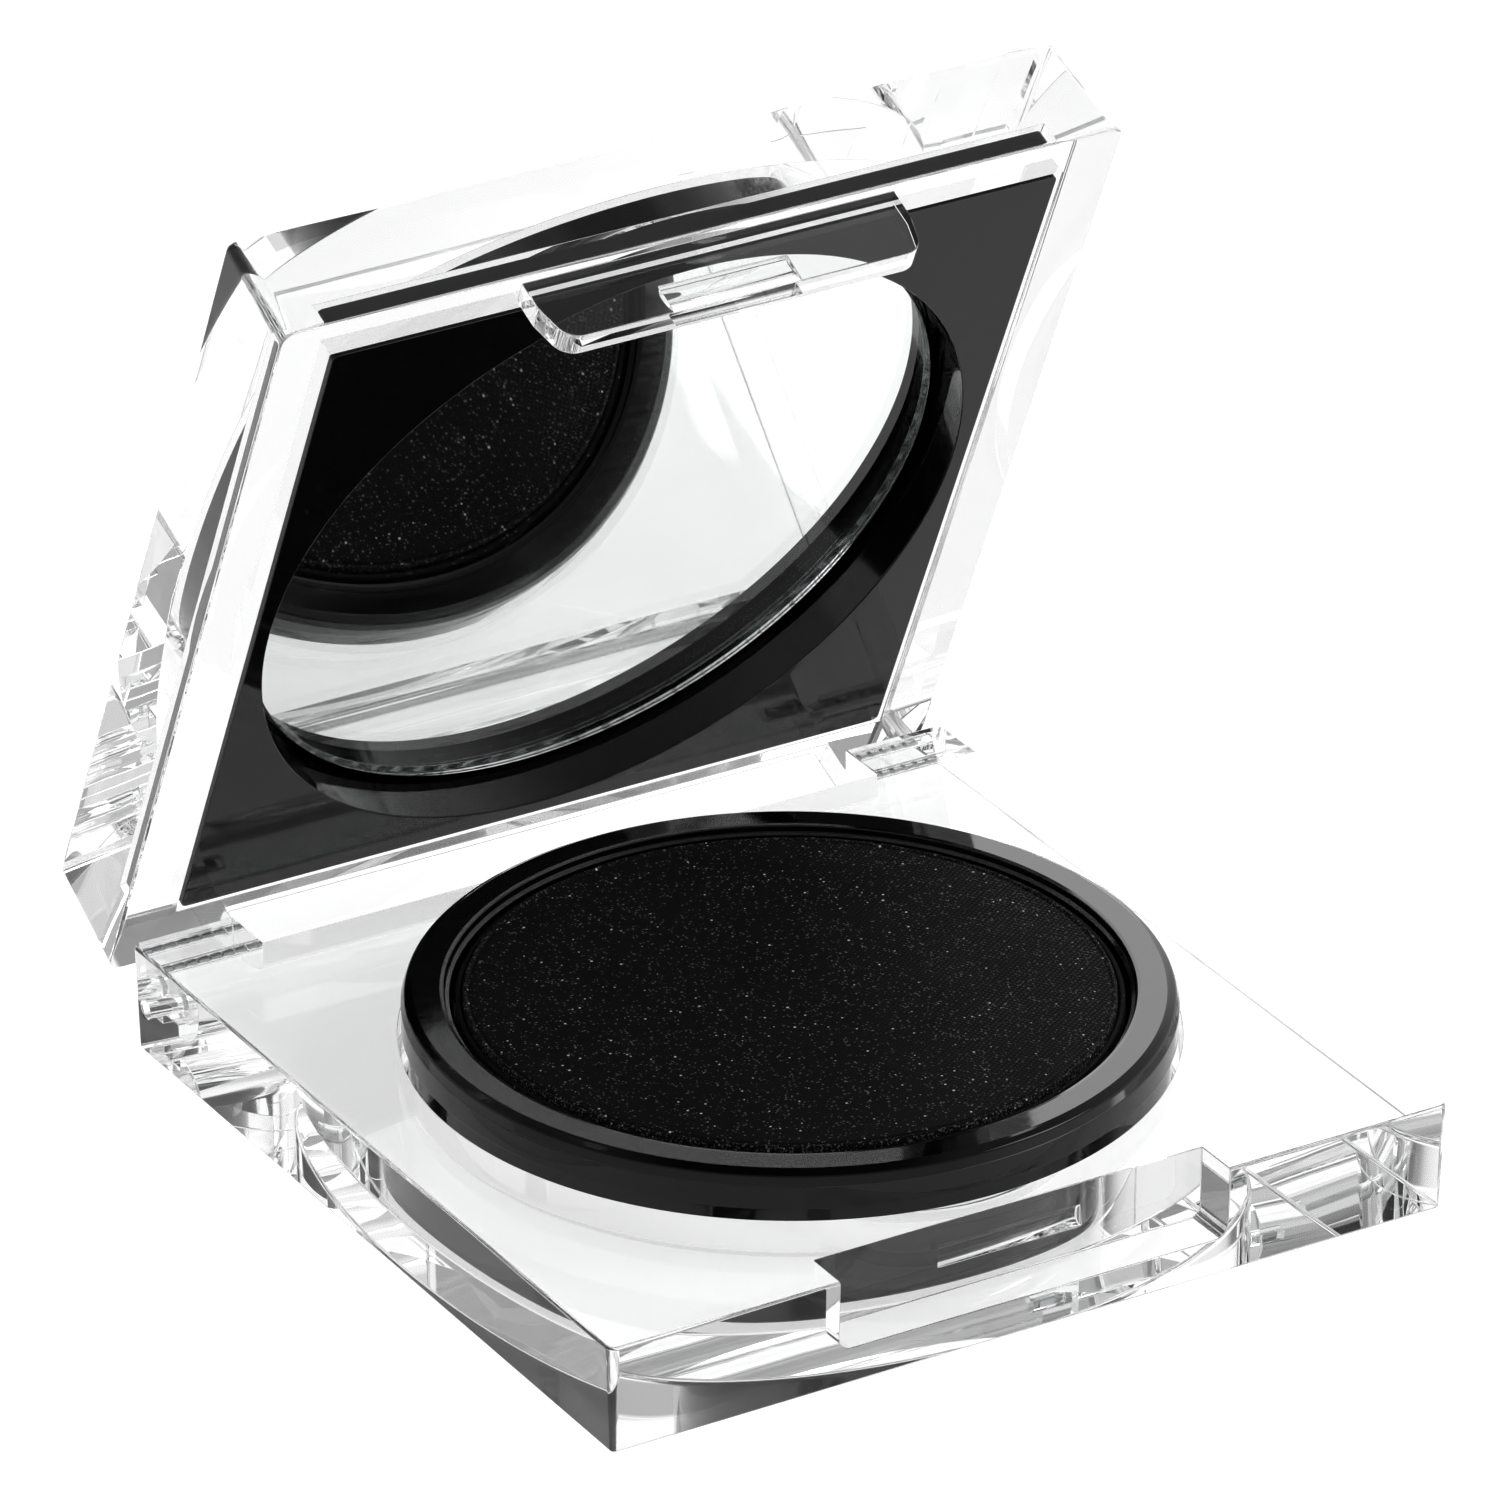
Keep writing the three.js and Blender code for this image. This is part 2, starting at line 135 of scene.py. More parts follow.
TRAY_R = TRAY_HI.x
TRAY_TOP = TRAY_HI.z
TRAY_NECK_R = 21.6
TRAY_RIM_UNDER = 2.4  # the rim's underside, down from its top
TRAY_RIM_SIDE = (2.25, 0.85)  # the rim's upright side, down from its top
TRAY_SHOULDER = ((0.2, 0.27), (0.6, 0.07))  # in from the side, and down from the top
TRAY_BAND_IN = 0.72  # the rim's flat band starts this far in from the side
TRAY_LIP_R = 19.6
TRAY_BORE_R = 19.25
TRAY_FLOOR_T = 3.0
PAN_R = PAN_HI.x
PAN_WALL = 0.35
PAN_DARKENED = 0.6  # the pan's wall is darkened this far down from the top
POWDER_R = POWDER_HI.x
POWDER_TOP = POWDER_HI.z
POWDER_FACE = POWDER_TOP - 0.09  # the pressed face, under the highest crumbs
POWDER_RIM = 0.55  # width of the crumbly rim

PLATE_HALF = PLATE_HI.x
PLATE_T = 2.4
PLATE_CORNER_R = 0.4
PLATE_CLEAR = 0.25  # gap round the plate and the cup
CUP_R = 22.45
CUP_WALL = 0.65
CUP_BACK = PLATE_HI.z
CUP_BACK_GAP = 0.4  # room for the tape behind the cup
MIRROR_R = MIRROR_HI.x
MIRROR_BEVEL = 0.3

WALL_SEGMENTS = 288
ARC_STEP = math.radians(9)
SHARP_DEG = 32  # edges steeper than this are rounded, and shaded as sharp


# ---- mesh building --------------------------------------------------------------------------


def rounded(corners):
    """A line through corners (a, b, radius), each but the ends rounded with an arc."""
    made = []
    for i, (a, b, radius) in enumerate(corners):
        here = Vector((a, b))
        if radius == 0 or i in (0, len(corners) - 1):
            made.append(here)
            continue
        to_last = (Vector(corners[i - 1][:2]) - here).normalized()
        to_next = (Vector(corners[i + 1][:2]) - here).normalized()
        half_angle = to_last.angle(to_next) / 2
        centre = here + (to_last + to_next).normalized() * radius / math.sin(half_angle)
        reach = radius / math.tan(half_angle)
        first = here + to_last * reach - centre
        last = here + to_next * reach - centre
        start = math.atan2(first.y, first.x)
        sweep = math.remainder(math.atan2(last.y, last.x) - start, math.tau)
        steps = max(2, math.ceil(abs(sweep) / ARC_STEP))
        for k in range(steps + 1):
            turn = start + sweep * k / steps
            made.append(centre + radius * Vector((math.cos(turn), math.sin(turn))))
    return made


def arc(a, b, radius, start_deg, end_deg, step=ARC_STEP):
    """Points along an arc about (a, b)."""
    start, end = math.radians(start_deg), math.radians(end_deg)
    steps = max(2, math.ceil(abs(end - start) / step))
    turns = [start + (end - start) * k / steps for k in range(steps + 1)]
    return [Vector((a + radius * math.cos(t), b + radius * math.sin(t))) for t in turns]


def new_object(name, bm):
    """An object of the finished mesh, with its faces turned outwards."""
    bmesh.ops.recalc_face_normals(bm, faces=bm.faces)
    mesh = bpy.data.meshes.new(name)
    bm.to_mesh(mesh)
    bm.free()
    made = bpy.data.objects.new(name, mesh)
    bpy.context.scene.collection.objects.link(made)
    return made


def bridge(bm, lower, upper):
    """Faces between two closed loops of points; a loop of one point makes a fan."""
    count = max(len(lower), len(upper))
    for i in range(count):
        j = (i + 1) % count
        ring = [lower[i % len(lower)], lower[j % len(lower)]]
        ring += [upper[j % len(upper)], upper[i % len(upper)]]
        bm.faces.new(list(dict.fromkeys(ring)))


def lathe(name, profile, segments=WALL_SEGMENTS):
    """A solid of revolution about the pan's upright axis, from (radius, z) points."""
    bm = bmesh.new()
    loops = []
    for radius, z in profile:
        if radius < 1e-6:
            loops.append([bm.verts.new((0, CUP_Y, z))])
            continue
        turns = [math.tau * i / segments for i in range(segments)]
        places = [(radius * math.cos(t), CUP_Y + radius * math.sin(t), z) for t in turns]
        loops.append([bm.verts.new(p) for p in places])
    for lower, upper in zip(loops, loops[1:]):
        bridge(bm, lower, upper)
    return new_object(name, bm)


def prism(name, outline, axis, start, end):
    """A solid whose outline runs along one axis: (y, z) along "X", or (x, z) along "Y"."""
    bm = bmesh.new()
    loops = []
    for along in (start, end):
        if axis == "X":
            places = [(along, a, b) for a, b in outline]
        else:
            places = [(a, along, b) for a, b in outline]
        loops.append([bm.verts.new(p) for p in places])
    bridge(bm, *loops)
    bm.faces.new(loops[0])
    bm.faces.new(loops[1])
    return new_object(name, bm)


def square_slab(name, profile, centre, centre_y=0.0):
    """A square slab with round upright corners, through (half, z) levels from the bottom up.
    centre is how far each corner's centre is from the slab's middle."""
    bm = bmesh.new()
    loops = []
    quarter_steps = 8
    for half, z in profile:
        places = []
        for quarter in range(4):
            middle = math.pi / 4 + quarter * math.pi / 2
            cx = math.copysign(centre, math.cos(middle))
            cy = math.copysign(centre, math.sin(middle))
            for k in range(quarter_steps + 1):
                t = quarter * math.pi / 2 + k / quarter_steps * math.pi / 2
                out = half - centre
                places.append((cx + out * math.cos(t), centre_y + cy + out * math.sin(t), z))
        loops.append([bm.verts.new(p) for p in places])
    for lower, upper in zip(loops, loops[1:]):
        bridge(bm, lower, upper)
    bm.faces.new(loops[0])
    bm.faces.new(loops[-1])
    return new_object(name, bm)


def cuboid(name, x, y, z):
    """A box from its (lowest, highest) place along each axis."""
    outline = [(x[0], z[0]), (x[1], z[0]), (x[1], z[1]), (x[0], z[1])]
    return prism(name, outline, "Y", *y)


def bake_modifiers(piece):
    """Applies a piece's modifiers to its mesh."""
    graph = bpy.context.evaluated_depsgraph_get()
    mesh = bpy.data.meshes.new_from_object(piece.evaluated_get(graph))
    piece.modifiers.clear()
    old = piece.data
    piece.data = mesh
    bpy.data.meshes.remove(old)


def carve(piece, tools, operation="DIFFERENCE"):
    """Cuts the tools out of a piece, or joins them to it."""
    for tool in tools:
        modifier = piece.modifiers.new("carve", "BOOLEAN")
        modifier.operation = operation
        modifier.solver = "EXACT"
        modifier.object = tool
        bake_modifiers(piece)
        bpy.data.objects.remove(tool)
    return piece


def tidy_faces(piece):
    """Merges stray points and joins coplanar faces left by the booleans."""
    bm = bmesh.new()
    bm.from_mesh(piece.data)
    stray, flat = 0.004, math.radians(0.4)
    bmesh.ops.remove_doubles(bm, verts=bm.verts, dist=stray)
    bmesh.ops.dissolve_limit(bm, angle_limit=flat, verts=bm.verts, edges=bm.edges)
    bm.to_mesh(piece.data)
    bm.free()


def soften(piece, width):
    """Rounds the sharp edges and shades the flat faces flat."""
    bevel = piece.modifiers.new("edges", "BEVEL")
    bevel.width = width
    bevel.segments = 3
    bevel.limit_method = "ANGLE"
    bevel.angle_limit = math.radians(SHARP_DEG)
    bevel.use_clamp_overlap = False
    bevel.miter_outer = "MITER_ARC"
    bake_modifiers(piece)
    shade(piece, SHARP_DEG)


def shade(piece, angle, weighted=True):
    """Smooth shading, sharp across edges steeper than the angle."""
    piece.data.shade_smooth()
    piece.data.set_sharp_from_angle(angle=math.radians(angle))
    if weighted:
        normals = piece.modifiers.new("normals", "WEIGHTED_NORMAL")
        normals.mode = "FACE_AREA"
        normals.weight = 100
        normals.keep_sharp = True
        bake_modifiers(piece)


def place(piece, body, replaced, slot, *materials, turn=None):
    """Turns a finished piece if asked, scales it to metres, gives it its materials, sets it under
    its body and hides the CAD parts that it replaces.
    """
    scale = Matrix.Scale(MM, 4)
    piece.data.transform(scale @ turn if turn else scale)
    piece.data.update()
    for material in materials:
        piece.data.materials.append(material)
    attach(piece, body)
    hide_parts(*replaced)
    return piece


# ---- material helpers -----------------------------------------------------------------------


class Nodes:
    """A short way to build a node material."""

    def __init__(self, name):
        self.material = bpy.data.materials.new(name)
        self.material.use_nodes = True
        self.tree = self.material.node_tree
        self.tree.nodes.clear()
        self.output = self.tree.nodes.new("ShaderNodeOutputMaterial")
        self.coordinates = self.tree.nodes.new("ShaderNodeTexCoord").outputs["Object"]

    def add(self, kind, inputs=None, **settings):
        node = self.tree.nodes.new("ShaderNode" + kind)
        for key, value in settings.items():
            setattr(node, key, value)
        for key, value in (inputs or {}).items():
            self.feed(node.inputs[key], value)
        return node

    def feed(self, socket, value):
        if isinstance(value, bpy.types.NodeSocket):
            self.tree.links.new(value, socket)
        else:
            socket.default_value = value

    def mapped(self, **settings):
        """Object coordinates, stretched or turned."""
        return self.add("Mapping", {"Vector": self.coordinates, **settings}).outputs[0]

    def noise(self, size_mm, detail, vector=None):
        settings = {"Scale": 1 / (size_mm * MM), "Detail": detail}
        settings["Vector"] = vector or self.coordinates
        return self.add("TexNoise", settings).outputs["Fac"]

    def cells(self, size_mm, output="Distance"):
        """Cells about a scatter of points: how far off the nearest is, or its own colour."""
        settings = {"Scale": 1 / (size_mm * MM), "Vector": self.coordinates}
        return self.add("TexVoronoi", settings).outputs[output]

    def span(self, value, from_min, from_max, to_min, to_max):
        """A value carried from one range to another, and held at its ends."""
        settings = {"Value": value, "From Min": from_min, "From Max": from_max}
        settings |= {"To Min": to_min, "To Max": to_max}
        return self.add("MapRange", settings).outputs[0]

    def math(self, operation, a, b=0.0):
        node = self.add("Math", operation=operation)
        self.feed(node.inputs[0], a)
        self.feed(node.inputs[1], b)
        return node.outputs[0]

    def mix(self, factor, a, b):
        node = self.add("Mix", {"Factor": factor}, data_type="RGBA")
        self.feed(node.inputs[6], a)
        self.feed(node.inputs[7], b)
        return node.outputs[2]

    def bump(self, height, strength, distance_mm):
        settings = {"Height": height, "Strength": strength, "Distance": distance_mm * MM}
        return self.add("Bump", settings).outputs[0]

    def surface(self, settings):
        """The finished material, of one Principled shader with these inputs."""
        return self.finish(self.add("BsdfPrincipled", settings).outputs[0])

    def finish(self, shader):
        self.tree.links.new(shader, self.output.inputs["Surface"])
        return self.material


# ---- materials ------------------------------------------------------------------------------


def acrylic():
    """Polished water-clear acrylic. Shadow rays pass through it, as light does."""
    nodes = Nodes("clear_acrylic")
    haze = nodes.noise(3.0, 4.0)
    roughness = nodes.span(haze, 0.35, 0.75, 0.0, 0.012)
    flow = nodes.noise(9.0, 1.0)
    settings = {
        "Base Color": (0.955, 0.958, 0.957, 1),
        "Roughness": roughness,
        "IOR": 1.49,
        "Transmission Weight": 1.0,
        "Normal": nodes.bump(flow, 0.12, 0.05),
    }
    glass = nodes.add("BsdfPrincipled", settings)
    clear = nodes.add("BsdfTransparent", {"Color": (0.93, 0.935, 0.935, 1)})
    light_path = nodes.add("LightPath")
    both = nodes.add("MixShader", {0: light_path.outputs["Is Shadow Ray"]})
    nodes.feed(both.inputs[1], glass.outputs[0])
    nodes.feed(both.inputs[2], clear.outputs[0])
    return nodes.finish(both.outputs[0])


def black_gloss():
    """High-gloss moulded black, with the faint waviness and wipe marks of a moulding."""
    nodes = Nodes("black_gloss")
    wipe = nodes.noise(1.4, 5.0, nodes.mapped(Scale=(1.0, 3.5, 1.0)))
    roughness = nodes.span(wipe, 0.3, 0.8, 0.035, 0.09)
    wave = nodes.noise(2.6, 1.0)
    settings = {
        "Base Color": nodes.mix(wipe, (0.002, 0.002, 0.0021, 1), (0.0045, 0.0045, 0.0048, 1)),
        "Roughness": roughness,
        "IOR": 1.46,
        "Normal": nodes.bump(wave, 0.25, 0.02),
    }
    return nodes.surface(settings)


def mirror_glass():
    """The mirror's clean float glass."""
    nodes = Nodes("mirror_glass")
    smear = nodes.noise(5.0, 3.0)
    settings = {
        "Base Color": (0.985, 0.992, 0.99, 1),
        "Roughness": nodes.span(smear, 0.45, 0.8, 0.0, 0.006),
        "IOR": 1.52,
        "Transmission Weight": 1.0,
    }
    return nodes.surface(settings)


def mirror_silver():
    """The silvering behind the mirror's glass, with a trace of unevenness."""
    nodes = Nodes("mirror_silver")
    smear = nodes.noise(4.0, 3.0)
    settings = {
        "Base Color": nodes.mix(smear, (0.90, 0.905, 0.905, 1), (0.93, 0.935, 0.935, 1)),
        "Metallic": 1.0,
        "Roughness": nodes.span(smear, 0.3, 0.7, 0.006, 0.018),
    }
    return nodes.surface(settings)


def ground_glass():
    """The mirror's bevel and edge: silvery, with fine polishing lines round the rim."""
    nodes = Nodes("ground_glass_edge")
    lines = nodes.noise(0.9, 4.0, nodes.mapped(Scale=(1.0, 1.0, 9.0)))
    settings = {
        "Base Color": nodes.mix(nodes.span(lines, 0.36, 0.5, 0.0, 1.0),
                                (0.35, 0.355, 0.355, 1), (0.98, 0.985, 0.985, 1)),
        "Roughness": nodes.span(lines, 0.3, 0.7, 0.08, 0.03),
        "Metallic": 1.0,
        "Normal": nodes.bump(lines, 0.1, 0.01),
    }
    return nodes.surface(settings)


def pressed_powder():
    """Matte black pressed powder: woven press marks, their knots painted paler towards the right
    side as painted highlights, fine grain, fine dust, sparse glitter with its sparkle painted in as
    pale flecks, and pale crumbs along the edge."""
    nodes = Nodes("pressed_powder")
    weave_pitch, weave_turn = 0.2, 14
    turned = nodes.mapped(Rotation=(0, 0, math.radians(weave_turn)))
    axes = nodes.add("SeparateXYZ", {"Vector": turned})
    step = math.pi / (weave_pitch * MM)
    warp = nodes.math("SINE", nodes.math("MULTIPLY", axes.outputs["X"], step))
    weft = nodes.math("SINE", nodes.math("MULTIPLY", axes.outputs["Y"], step))
    weave = nodes.math("MULTIPLY", warp, weft)
    grain = nodes.noise(0.06, 3.0)
    patches = nodes.noise(5.0, 2.0)

    def flecks(spacing, channel, least, radius):
        """Round flecks of up to this radius in some of the cells, and a brightness for each."""
        colour = nodes.cells(spacing, output="Color")
        pick = nodes.add("SeparateColor", {"Color": colour}).outputs
        size = nodes.span(pick[channel], least, 1.0, 0.0, radius / spacing)
        return nodes.math("LESS_THAN", nodes.cells(spacing), size), pick["Blue"]

    tone = nodes.mix(patches, (0.006, 0.006, 0.0062, 1), (0.011, 0.011, 0.0113, 1))
    # painted highlight: the weave's knots are painted paler, more so towards the right side, where
    # light catches them
    side = nodes.span(axes.outputs["X"], 2 * MM, 14 * MM, 0.0, 1.0)
    knots = nodes.math("GREATER_THAN", weave, 0.45)
    knot_highlight = nodes.math("MULTIPLY", nodes.math("MULTIPLY", knots, side), patches)
    tone = nodes.mix(knot_highlight, tone, (0.11, 0.11, 0.112, 1))
    dust, _ = flecks(spacing=0.2, channel="Green", least=0.35, radius=0.075)
    tone = nodes.mix(nodes.math("MULTIPLY", dust, 0.6), tone, (0.24, 0.24, 0.24, 1))
    # the glitter is real, but its sparkle is painted in as pale flecks, each at its own brightness:
    # painted glints
    glint, shine = flecks(spacing=0.42, channel="Red", least=0.0, radius=0.085)
    brightness = nodes.span(shine, 0.0, 1.0, 0.12, 1.0)
    tone = nodes.mix(nodes.math("MULTIPLY", glint, brightness), tone, (0.85, 0.85, 0.85, 1))
    centre = (0, CUP_Y * MM, 0)
    offset = {0: nodes.mapped(Scale=(1, 1, 0)), 1: centre}
    radius = nodes.add("VectorMath", offset, operation="DISTANCE").outputs["Value"]
    crumbs_from, crumbs_full = (POWDER_R - 0.35) * MM, (POWDER_R - 0.15) * MM
    edge = nodes.span(radius, crumbs_from, crumbs_full, 0.0, 1.0)
    crumbs = nodes.math("GREATER_THAN", nodes.noise(0.13, 2.0), 0.6)
    tone = nodes.mix(nodes.math("MULTIPLY", edge, crumbs), tone, (0.16, 0.16, 0.16, 1))
    height = nodes.math("ADD", nodes.math("MULTIPLY", weave, 0.35), grain)
    settings = {
        "Base Color": tone,
        "Roughness": nodes.span(grain, 0.2, 0.8, 0.62, 0.9),
        "Specular IOR Level": 0.12,
        "Normal": nodes.bump(height, 0.55, 0.03),
    }
    return nodes.surface(settings)


def darkened_rim_metal():
    """Tinplate made nearly black, with sparse pale specks, for the top of the pan's wall."""
    nodes = Nodes("darkened_rim_tinplate")
    rim_mottle = nodes.noise(0.22, 4.0)
    speck = nodes.cells(0.32)
    pale_specks = nodes.math("LESS_THAN", speck, nodes.span(rim_mottle, 0.5, 0.75, 0.0, 0.32))
    # the nearly black tone of the darkened top of the pan's wall
    powder = nodes.mix(rim_mottle, (0.003, 0.003, 0.003, 1), (0.012, 0.012, 0.012, 1))
    settings = {
        "Base Color": nodes.mix(pale_specks, powder, (0.45, 0.45, 0.45, 1)),
        "Roughness": nodes.span(rim_mottle, 0.3, 0.7, 0.6, 0.85),
        "Specular IOR Level": 0.15,
        "Normal": nodes.bump(rim_mottle, 0.4, 0.02),
    }
    return nodes.surface(settings)


def steel(name, colour, grain_mm, stretch):
    """Bare metal, with its grain drawn out along the axis where stretch is least."""
    nodes = Nodes(name)
    brushed = nodes.noise(grain_mm, 4.0, nodes.mapped(Scale=stretch))
    darker = tuple(c * 0.8 for c in colour[:3]) + (1,)
    settings = {
        "Base Color": nodes.mix(brushed, darker, colour),
        "Metallic": 1.0,
        "Roughness": nodes.span(brushed, 0.2, 0.8, 0.22, 0.42),
        "Normal": nodes.bump(brushed, 0.2, 0.01),
    }
    return nodes.surface(settings)


def adhesive():
    """Black foam tape."""
    nodes = Nodes("foam_tape")
    foam = nodes.cells(0.14)
    settings = {
        "Base Color": nodes.mix(foam, (0.012, 0.012, 0.013, 1), (0.026, 0.026, 0.027, 1)),
        "Roughness": 0.85,
        "Normal": nodes.bump(foam, 0.15, 0.01),
    }
    return nodes.surface(settings)


# ---- base -----------------------------------------------------------------------------------


def trough_outline():
    """The room that the lid's knuckle turns in: a round trough in front of a low lip."""
    top, back = BASE_TOP + 2 * OVERCUT, HALF + 2 * OVERCUT
    front = HINGE_Y - TROUGH_R
    outline = [Vector((back, top)), Vector((front, top))]
    outline += arc(HINGE_Y, HINGE_Z, TROUGH_R, 180, 270)
    outline.append(Vector((HINGE_Y + LIP_GAP, HINGE_Z - TROUGH_R)))
    outline.append(Vector((HINGE_Y + LIP_GAP, LIP_Z)))
    outline.append(Vector((back, LIP_Z)))
    return outline


def pin_bore(start, end):
    outline = arc(HINGE_Y, HINGE_Z, PIN_BORE_R, 0, 350, math.radians(10))
    return prism("pin_bore", outline, "X", start, end)


def base_body(material):
    """The clear base block, with the well, the trough, the latch notch and the pins' bores."""
    side = rounded(
        [
            (0, 0, 0),
            (HALF - BASE_DRAFT, 0, EDGE_R),
            (HALF, BASE_TOP, EDGE_R),
            (0, BASE_TOP, 0),
        ]
    )
    block = square_slab("base_body", side[1:-1], HALF - CORNER_R)
    above = BASE_TOP + OVERCUT
    well = [(0, WELL_FLOOR, 0), (WELL_R, WELL_FLOOR, WELL_FILLET)]
    well += [(WELL_R, above, 0), (0, above, 0)]
    notch = rounded(
        [
            (-NOTCH_HALF, above, 0),
            (-NOTCH_HALF, NOTCH_FLOOR_Z, NOTCH_CORNER_R),
            (NOTCH_HALF, NOTCH_FLOOR_Z, NOTCH_CORNER_R),
            (NOTCH_HALF, above, 0),
        ]
    )
    catch_y = NOTCH_BACK_Y - (CATCH_R - CATCH_DEPTH)
    catch = arc(catch_y, CATCH_Z, CATCH_R, 0, 345, math.radians(15))
    tools = [
        lathe("well", rounded(well)),
        prism("trough", trough_outline(), "X", -EAR_X, EAR_X),
        prism("notch", notch, "Y", -HALF - OVERCUT, NOTCH_BACK_Y),
        prism("catch", catch, "X", -CATCH_HALF, CATCH_HALF),
        pin_bore(-HALF - OVERCUT, -EAR_X + OVERCUT),
        pin_bore(EAR_X - OVERCUT, HALF + OVERCUT),
    ]
    carve(block, tools)
    tidy_faces(block)
    soften(block, CUT_EDGE)
    return place(block, "base", ["base_shell"], "clear_acrylic", material)


def hinge_pin(name, side, node, material):
    """A steel pin with a barbed middle, its outer end a little inside the base's side."""
    lo, hi = node_box(node)
    barbs, pitch, depth, step, bevel = 6, 0.8, 0.12, 0.02, 0.12
    radius = hi.z - HINGE_Z
    length = hi.x - lo.x
    outer = hi.x if side > 0 else -lo.x
    smooth = outer - EAR_X - barbs * pitch
    profile = [(0, 0), (radius - bevel, 0), (radius, bevel), (radius, smooth)]
    for i in range(barbs):
        x = smooth + i * pitch
        profile.append((radius - depth, x + pitch / 4))
        profile.append((radius, x + pitch - step))
    profile += [(radius, length - bevel), (radius - bevel, length), (0, length)]
    made = lathe(name, profile, 48)
    made.data.transform(Matrix.Translation((0, -CUP_Y, 0)))
    made.data.transform(Matrix.Rotation(math.radians(-90 * side), 4, "Y"))
    made.data.transform(Matrix.Translation((side * outer, HINGE_Y, HINGE_Z)))
    shade(made, 25, weighted=False)
    return place(made, "base", [node], "pin_steel", material)


# ---- pan stack ------------------------------------------------------------------------------


def tray(material):
    """The black tray: its rim stands proud of the base, and its bore holds the pan."""
    floor = TRAY_LO.z + TRAY_FLOOR_T
    side_foot, side_top = (TRAY_TOP - drop for drop in TRAY_RIM_SIDE)
    (low_in, low_drop), (high_in, high_drop) = TRAY_SHOULDER
    profile = rounded(
        [
            (0, TRAY_LO.z, 0),
            (TRAY_NECK_R, TRAY_LO.z, 0.2),
            (TRAY_NECK_R, TRAY_TOP - TRAY_RIM_UNDER, 0.1),
            (TRAY_R, side_foot, 0.12),
            (TRAY_R, side_top, 0.3),
            (TRAY_R - low_in, TRAY_TOP - low_drop, 0.3),
            (TRAY_R - high_in, TRAY_TOP - high_drop, 0.15),
            (TRAY_R - TRAY_BAND_IN, TRAY_TOP, 0.03),
            (TRAY_LIP_R + 0.2, TRAY_TOP, 0.05),
            (TRAY_LIP_R - 0.03, TRAY_TOP - 0.03, 0.08),
            (TRAY_LIP_R - 0.1, TRAY_TOP - 0.4, 0.06),
            (TRAY_BORE_R, TRAY_TOP - 0.5, 0.06),
            (TRAY_BORE_R, floor, 0.25),
            (0, floor, 0),
        ]
    )
    made = lathe("tray", profile)
    shade(made, 40)
    return place(made, "base", ["pan_tray"], "black_gloss", material)


def metal_pan(metal, darkened):
    """The pressed tin pan. Its top edge is darkened nearly black, with sparse pale specks."""
    inner = PAN_R - PAN_WALL
    floor = PAN_LO.z + PAN_WALL
    profile = rounded(
        [
            (0, PAN_LO.z, 0),
            (PAN_R, PAN_LO.z, 0.5),
            (PAN_R, PAN_HI.z, 0.14),
            (inner, PAN_HI.z, 0.14),
            (inner, floor, 0.3),
            (0, floor, 0),
        ]
    )
    made = lathe("metal_pan", profile, 180)
    shade(made, 40)
    # faces near the top of the wall take the darkened finish
    darkened_from = PAN_HI.z - PAN_DARKENED
    rim = [int(polygon.center.z > darkened_from) for polygon in made.data.polygons]
    placed = place(made, "base", ["pan"], "tinplate", metal, darkened)
    placed.data.polygons.foreach_set("material_index", rim)
    return placed


def powder_cake(material):
    """A disc on a fine polar grid, with a crumbly raised rim and a softly uneven face."""
    segments, face_rings, rim_rings = 540, 59, 13
    inner = POWDER_R - POWDER_RIM
    radii = list(np.linspace(0, inner, face_rings + 1)[1:])
    radii += list(np.linspace(inner, POWDER_R, rim_rings + 1)[1:])
    bottom = POWDER_LO.z
    bm = bmesh.new()
    loops = [[bm.verts.new((0, CUP_Y, bottom))]]
    turns = [math.tau * i / segments for i in range(segments)]

    def ring(radius, height):
        made = []
        for t in turns:
            x, y = radius * math.cos(t), radius * math.sin(t)
            made.append(bm.verts.new((x, CUP_Y + y, height(x, y, radius))))
        return made

    def hump(share, middle, width):
        return math.exp(-(((share - middle) / width) ** 2))

    def face_height(x, y, radius):
        """The face's height: level, then a groove and a broken ridge, then a fall at the edge."""
        share = max(0.0, (radius - inner) / POWDER_RIM)
        swell = 0.018 * noise.noise(Vector((x, y, 0)) / 6.0)
        crumb = noise.noise(Vector((x, y, 2.0)) / 0.16)
        chunk = noise.noise(Vector((x, y, 7.0)) / 0.55)
        groove = -0.09 * hump(share, 0.35, 0.16)
        ridge = hump(share, 0.72, 0.2) * (0.045 + 0.05 * crumb + 0.05 * chunk)
        fall = -0.16 * max(0.0, (share - 0.85) / 0.15)
        return min(POWDER_TOP, POWDER_FACE + swell + groove + ridge + fall)

    loops.append(ring(POWDER_R, lambda x, y, r: bottom))
    for radius in reversed(radii):
        loops.append(ring(radius, face_height))
    loops.append([bm.verts.new((0, CUP_Y, POWDER_FACE))])
    for lower, upper in zip(loops, loops[1:]):
        bridge(bm, lower, upper)
    made = new_object("powder_cake", bm)
    shade(made, 60, weighted=False)
    return place(made, "base", ["powder"], "pressed_powder", material)


def tape_disc(name, node, body, material, turn=None):
    """A disc of double-sided foam tape."""
    lo, hi = node_box(node, CLOSE_LID if turn else None)
    profile = [(0, lo.z, 0), (hi.x, lo.z, 0.04), (hi.x, hi.z, 0.04), (0, hi.z, 0)]
    made = lathe(name, rounded(profile), 144)
    shade(made, 40)
    return place(made, body, [node], "adhesive", material, turn=turn)


# ---- lid, drawn shut ------------------------------------------------------------------------


def knuckle_outline():
    """The knuckle: round below, its back flush with the lid's, and its top inside the lid."""
    flat = HALF - HINGE_Y
    merge = LID_FACE + OVERCUT
    outline = [Vector((HINGE_Y - KNUCKLE_R, merge))]
    outline += arc(HINGE_Y, HINGE_Z, KNUCKLE_R, 180, 270)
    outline += arc(HINGE_Y, HINGE_Z, flat, 270, 360)
    outline.append(Vector((HALF, merge)))
    return outline


